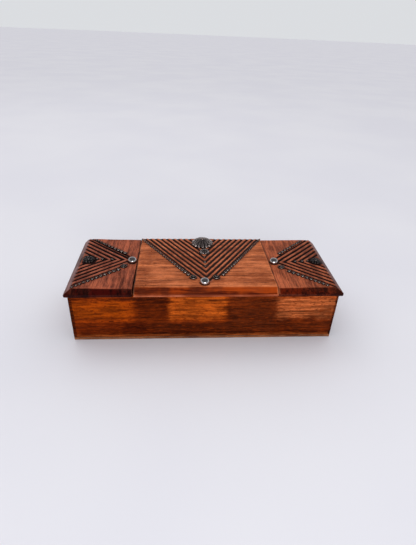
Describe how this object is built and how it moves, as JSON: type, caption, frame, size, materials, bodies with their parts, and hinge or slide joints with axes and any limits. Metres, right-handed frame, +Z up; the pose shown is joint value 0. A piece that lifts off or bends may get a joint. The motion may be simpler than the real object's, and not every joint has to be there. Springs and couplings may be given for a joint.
{
  "type": "jewelry box",
  "caption": "Low rectangular stained wood box whose three compartments each have a hinged lid carved with nested V grooves, set with graduated beads, domed studs and fluted bosses.",
  "frame": {"origin": "middle of the underside of the base, on the surface the box stands on", "axes": "+X along the box to the right, +Y to the back where the centre lid is hinged, +Z up"},
  "size_m": [0.3, 0.1215, 0.077],
  "materials": {
    "body_wood": "stained and waxed, blotchy amber to dark red-brown, worn along the lower edge",
    "lid_wood": "stained and waxed orange-brown, dark in the carved grooves and on the end-grain chamfers",
    "felt": "short wine-red felt",
    "nickel": "polished nickel, slightly dulled",
    "pewter": "dark cast metal, rubbed bright on the ribs",
    "brass": "aged brass"
  },
  "bodies": {
    "box": {"front_wall": "body_wood", "back_wall": "body_wood", "left_wall": "body_wood", "right_wall": "body_wood", "bottom_board": "body_wood", "partition_left": "body_wood", "partition_right": "body_wood", "lining_left": "felt", "lining_centre": "felt", "lining_right": "felt", "hinge_left_fixed_leaf": "brass", "hinge_left_fixed_screw_1": "brass", "hinge_left_fixed_screw_2": "brass", "hinge_left_pin": "brass", "hinge_right_fixed_leaf": "brass", "hinge_right_fixed_screw_1": "brass", "hinge_right_fixed_screw_2": "brass", "hinge_right_pin": "brass", "hinge_back_left_fixed_leaf": "brass", "hinge_back_left_fixed_screw_1": "brass", "hinge_back_left_fixed_screw_2": "brass", "hinge_back_left_pin": "brass", "hinge_back_right_fixed_leaf": "brass", "hinge_back_right_fixed_screw_1": "brass", "hinge_back_right_fixed_screw_2": "brass", "hinge_back_right_pin": "brass"},
    "centre_lid": {"lid_centre": "lid_wood", "stud_centre": "nickel", "boss_large": "pewter", "boss_small": "pewter", "bead_row_centre_a": "pewter", "bead_row_centre_b": "pewter", "bead_row_centre_middle": "pewter", "hinge_back_left_moving_leaf": "brass", "hinge_back_left_moving_screw_1": "brass", "hinge_back_left_moving_screw_2": "brass", "hinge_back_right_moving_leaf": "brass", "hinge_back_right_moving_screw_1": "brass", "hinge_back_right_moving_screw_2": "brass"},
    "left_lid": {"lid_left": "lid_wood", "stud_left": "nickel", "rosette_left": "pewter", "bead_row_left_a": "pewter", "bead_row_left_b": "pewter", "bead_row_left_middle": "pewter", "hinge_left_moving_leaf": "brass", "hinge_left_moving_screw_1": "brass", "hinge_left_moving_screw_2": "brass"},
    "right_lid": {"lid_right": "lid_wood", "stud_right": "nickel", "rosette_right": "pewter", "bead_row_right_a": "pewter", "bead_row_right_b": "pewter", "bead_row_right_middle": "pewter", "hinge_right_moving_leaf": "brass", "hinge_right_moving_screw_1": "brass", "hinge_right_moving_screw_2": "brass"}
  },
  "joints": [
    {"name": "centre_lid_hinge", "type": "hinge", "parent": "box", "child": "centre_lid", "pos_m": [0, 0.0584, 0.059], "axis": [-1, 0, 0], "range_deg": [0, 108]},
    {"name": "left_lid_hinge", "type": "hinge", "parent": "box", "child": "left_lid", "pos_m": [-0.1477, 0, 0.059], "axis": [0, -1, 0], "range_deg": [0, 108]},
    {"name": "right_lid_hinge", "type": "hinge", "parent": "box", "child": "right_lid", "pos_m": [0.1477, 0, 0.059], "axis": [0, 1, 0], "range_deg": [0, 108]}
  ]
}
